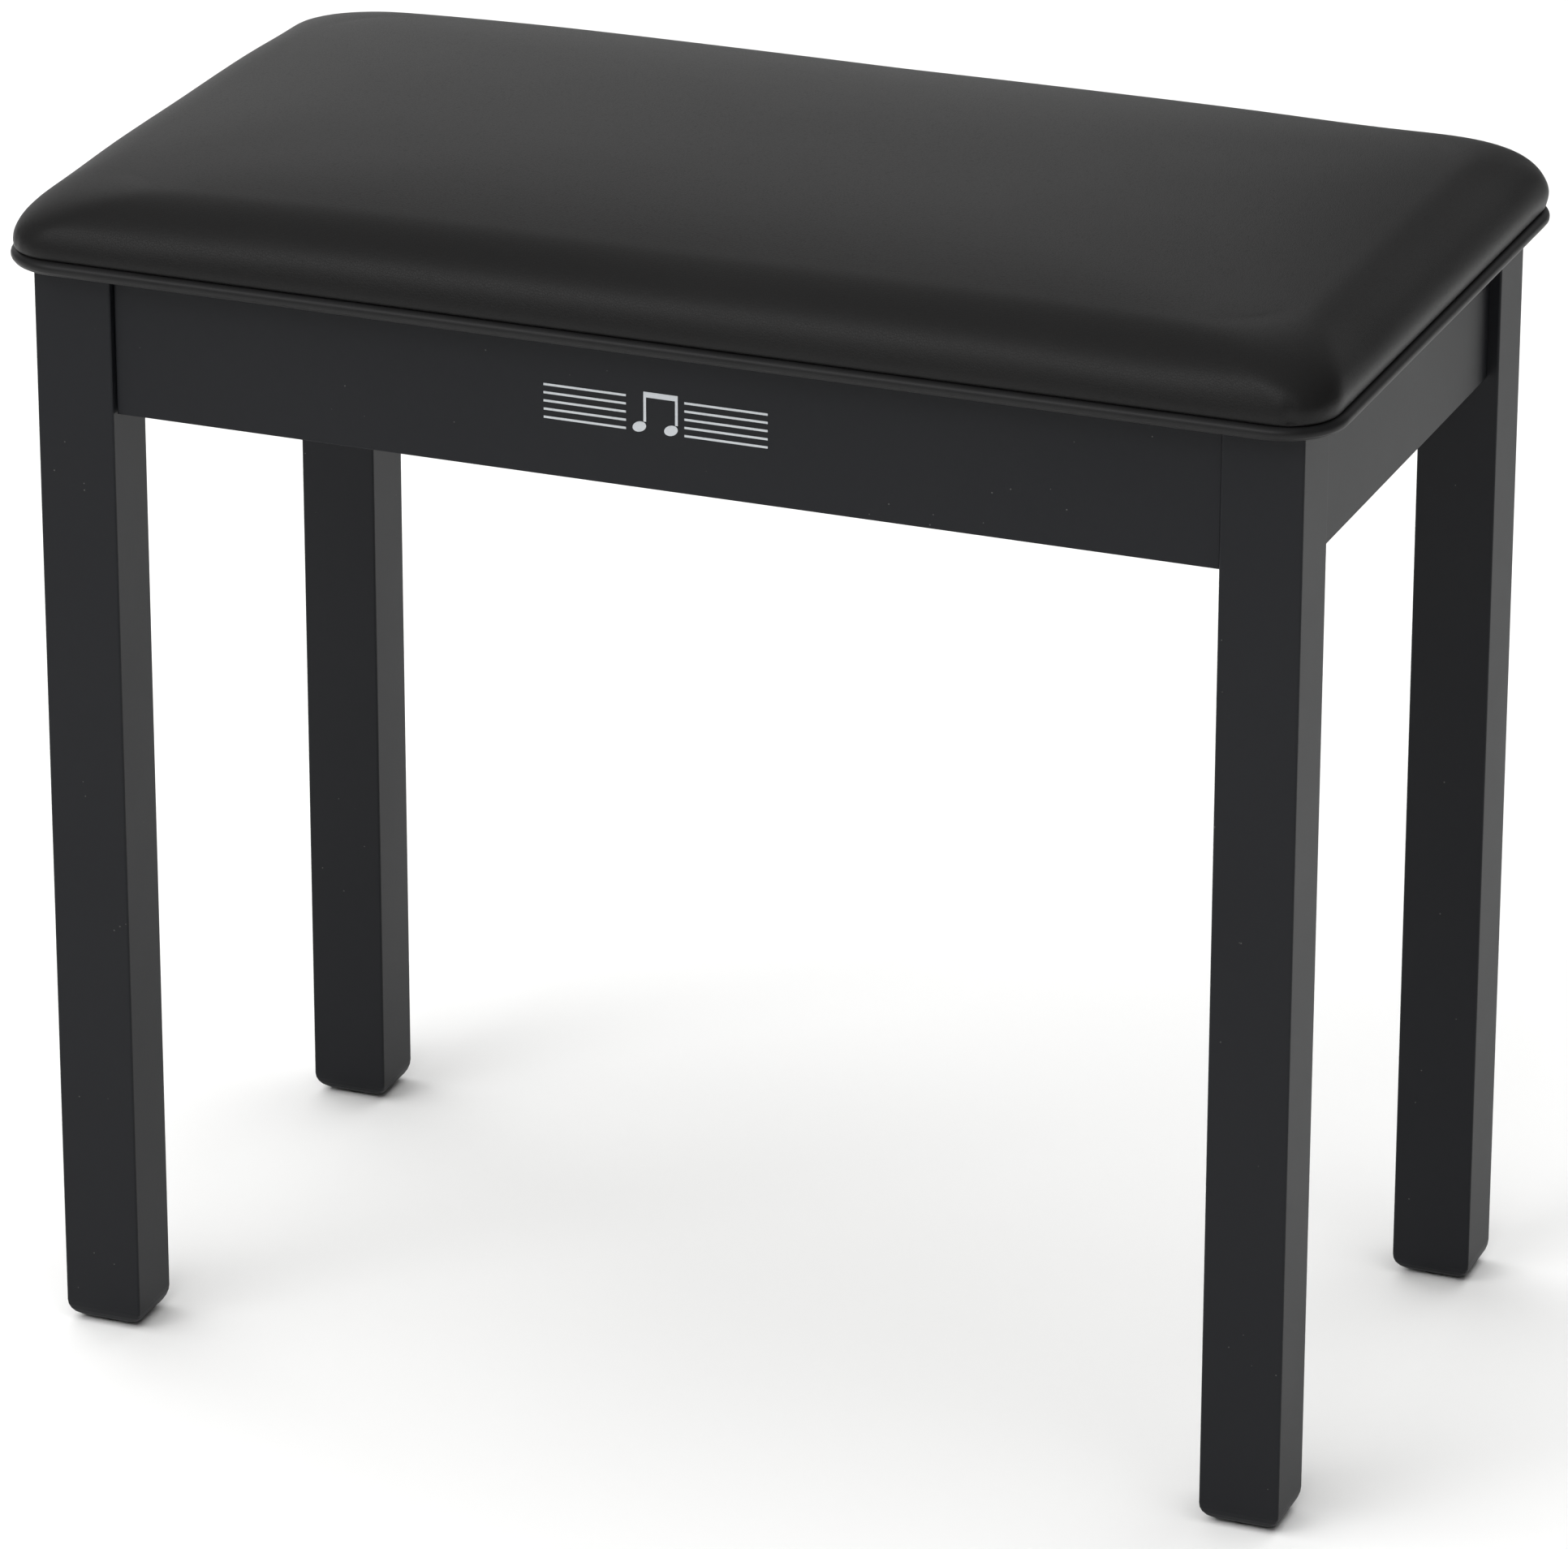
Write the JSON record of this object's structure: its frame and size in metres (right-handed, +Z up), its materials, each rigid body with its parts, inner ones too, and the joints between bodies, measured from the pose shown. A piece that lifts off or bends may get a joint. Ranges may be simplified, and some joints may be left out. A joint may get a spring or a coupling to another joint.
{
  "type": "piano bench",
  "caption": "Fixed-height bench for a keyboard player: padded black vinyl seat with a piped edge on a black apron frame with straight square-section legs.",
  "frame": {"origin": "centre of the footprint on the floor, under the middle of the seat", "axes": "+X along the seat to the sitter's right seen from the front, +Y from the front apron to the rear apron, +Z up"},
  "size_m": [0.5456, 0.2986, 0.4961],
  "materials": {
    "black_foil": "satin black foil on particle board, very fine grain emboss",
    "vinyl": "smooth black vinyl with a soft sheen",
    "welt": "black vinyl piping",
    "foam": "open-cell upholstery foam",
    "raw_board": "unfinished wood-based board",
    "dust_cloth": "black spun-bonded cloth",
    "zinc_steel": "zinc plated",
    "silver_print": "thin silver screen print on the front apron",
    "glide_plastic": "moulded black plastic"
  },
  "bodies": {
    "root": {"seat_cover": "vinyl", "seat_welt": "welt", "foam_pad": "foam", "seat_board": "raw_board", "dust_cover": "dust_cloth", "front_apron": "black_foil", "rear_apron": "black_foil", "left_apron": "black_foil", "right_apron": "black_foil", "leg_front_left": "black_foil", "leg_front_right": "black_foil", "leg_rear_left": "black_foil", "leg_rear_right": "black_foil", "front_cleat": "raw_board", "rear_cleat": "raw_board", "corner_bracket_front_left": "zinc_steel", "hanger_bolt_front_left": "zinc_steel", "washer_front_left": "zinc_steel", "hex_nut_front_left": "zinc_steel", "bracket_screw_front_left_1": "zinc_steel", "bracket_screw_front_left_2": "zinc_steel", "bracket_screw_front_left_3": "zinc_steel", "bracket_screw_front_left_4": "zinc_steel", "foot_glide_front_left": "glide_plastic", "corner_bracket_front_right": "zinc_steel", "hanger_bolt_front_right": "zinc_steel", "washer_front_right": "zinc_steel", "hex_nut_front_right": "zinc_steel", "bracket_screw_front_right_1": "zinc_steel", "bracket_screw_front_right_2": "zinc_steel", "bracket_screw_front_right_3": "zinc_steel", "bracket_screw_front_right_4": "zinc_steel", "foot_glide_front_right": "glide_plastic", "corner_bracket_rear_left": "zinc_steel", "hanger_bolt_rear_left": "zinc_steel", "washer_rear_left": "zinc_steel", "hex_nut_rear_left": "zinc_steel", "bracket_screw_rear_left_1": "zinc_steel", "bracket_screw_rear_left_2": "zinc_steel", "bracket_screw_rear_left_3": "zinc_steel", "bracket_screw_rear_left_4": "zinc_steel", "foot_glide_rear_left": "glide_plastic", "corner_bracket_rear_right": "zinc_steel", "hanger_bolt_rear_right": "zinc_steel", "washer_rear_right": "zinc_steel", "hex_nut_rear_right": "zinc_steel", "bracket_screw_rear_right_1": "zinc_steel", "bracket_screw_rear_right_2": "zinc_steel", "bracket_screw_rear_right_3": "zinc_steel", "bracket_screw_rear_right_4": "zinc_steel", "foot_glide_rear_right": "glide_plastic", "seat_screw_front_1": "zinc_steel", "seat_screw_front_2": "zinc_steel", "seat_screw_front_3": "zinc_steel", "seat_screw_rear_1": "zinc_steel", "seat_screw_rear_2": "zinc_steel", "seat_screw_rear_3": "zinc_steel"}
  },
  "joints": []
}
